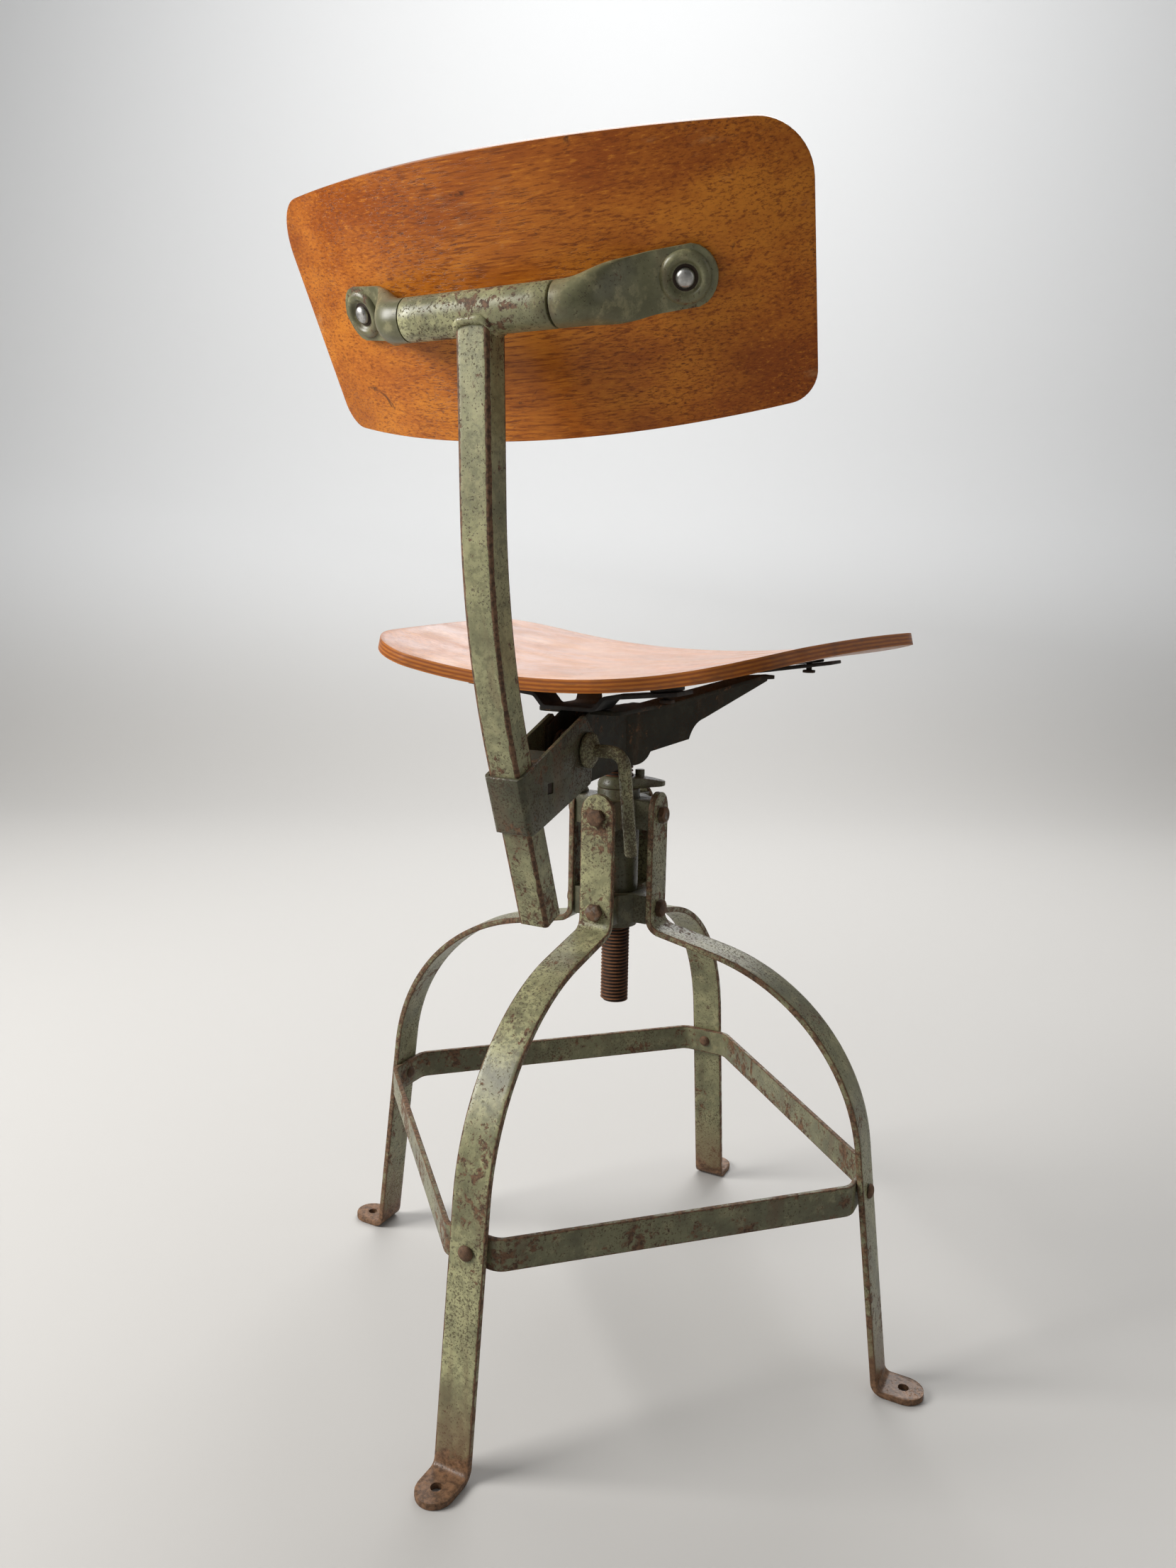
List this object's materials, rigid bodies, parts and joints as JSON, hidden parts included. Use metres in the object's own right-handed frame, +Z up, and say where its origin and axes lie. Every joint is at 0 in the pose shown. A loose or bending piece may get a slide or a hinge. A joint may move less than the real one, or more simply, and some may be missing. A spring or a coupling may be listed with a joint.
{
  "type": "drafting chair",
  "caption": "Screw-raised swivel chair on curved flat-bar legs with a footrest ring, a dished plywood seat and a sprung plywood backrest on a bent post.",
  "frame": {"origin": "on the floor, on the axis of the seat spindle", "axes": "+Z up; the sitter faces -Y, the backrest stands at +Y; +X is the sitter's left"},
  "size_m": [0.568, 0.568, 0.9058],
  "materials": {
    "green_paint": "worn satin paint over steel",
    "worn_green_paint": "chipped satin paint over steel",
    "dark_green_paint": "grimy satin paint over steel",
    "brown_steel": "browned bare steel",
    "rusty_steel": "rusted bare steel",
    "bright_steel": "zinc plated",
    "varnished_plywood": "worn satin varnish",
    "black_rubber": "dull"
  },
  "bodies": {
    "base": {"hub_tube": "green_paint", "lower_collar": "green_paint", "upper_collar": "green_paint", "footrest_ring": "green_paint", "leg_right": "worn_green_paint", "leg_front": "worn_green_paint", "leg_left": "worn_green_paint", "leg_rear": "worn_green_paint", "ring_rivet_right": "brown_steel", "ring_rivet_front": "brown_steel", "ring_rivet_left": "brown_steel", "ring_rivet_rear": "brown_steel", "leg_bolt_right_lower": "brown_steel", "leg_bolt_right_upper": "brown_steel", "leg_bolt_front_lower": "brown_steel", "leg_bolt_front_upper": "brown_steel", "leg_bolt_left_lower": "brown_steel", "leg_bolt_left_upper": "brown_steel", "leg_bolt_rear_lower": "brown_steel", "leg_bolt_rear_upper": "brown_steel"},
    "lock": {"lock_nut": "dark_green_paint"},
    "spindle": {"seat_spindle": "rusty_steel"},
    "seat": {"seat_panel": "varnished_plywood", "seat_bracket_left": "dark_green_paint", "seat_bracket_right": "dark_green_paint", "spindle_socket": "dark_green_paint", "rear_strap": "dark_green_paint", "front_strap": "dark_green_paint", "rubber_pad_rear_left": "black_rubber", "rubber_pad_rear_right": "black_rubber", "rubber_pad_front_left": "black_rubber", "rubber_pad_front_right": "black_rubber", "seat_screw_rear_left": "brown_steel", "seat_screw_rear_right": "brown_steel", "seat_screw_front_left": "brown_steel", "seat_screw_front_right": "brown_steel", "torsion_spring": "rusty_steel"},
    "clevis": {"back_clevis": "green_paint", "grip_plate": "dark_green_paint", "clamp_nut": "brown_steel"},
    "crank": {"clamp_crank": "worn_green_paint"},
    "post": {"back_post": "green_paint", "cross_sleeve": "worn_green_paint"},
    "back": {"back_panel": "varnished_plywood", "back_axle": "brown_steel", "back_arm_left": "worn_green_paint", "back_arm_right": "worn_green_paint", "panel_bolt_left": "bright_steel", "panel_bolt_right": "bright_steel", "panel_nut_left": "bright_steel", "panel_nut_right": "bright_steel"}
  },
  "joints": [
    {"name": "lock_turn", "type": "hinge", "parent": "base", "child": "lock", "pos_m": [0, 0, 0.474], "axis": [0, 0, 1], "continuous": true},
    {"name": "seat_height", "type": "slide", "parent": "base", "child": "spindle", "axis": [0, 0, 1], "range_m": [-0.003, 0.075]},
    {"name": "seat_turn", "type": "hinge", "parent": "spindle", "child": "seat", "pos_m": [0, 0, 0.52], "axis": [0, 0, 1], "range_deg": [-360, 9000]},
    {"name": "back_tilt", "type": "hinge", "parent": "seat", "child": "clevis", "pos_m": [0, 0.089, 0.514], "axis": [-1, 0, 0], "range_deg": [0, 12], "stiffness_Nm_per_rad": 22, "springref_deg": -17.19},
    {"name": "crank_turn", "type": "hinge", "parent": "clevis", "child": "crank", "pos_m": [0, 0.089, 0.514], "axis": [1, 0, 0], "range_deg": [-25, 95]},
    {"name": "post_height", "type": "slide", "parent": "clevis", "child": "post", "axis": [0, 0.342, 0.9397], "range_m": [-0.012, 0.06]},
    {"name": "panel_tilt", "type": "hinge", "parent": "post", "child": "back", "pos_m": [0, 0.21462, 0.8065], "axis": [1, 0, 0], "range_deg": [-12, 30]}
  ],
  "couplings": [
    {"joint": "seat_height", "follows": "seat_turn", "m_per_rad": 0.000477}
  ]
}
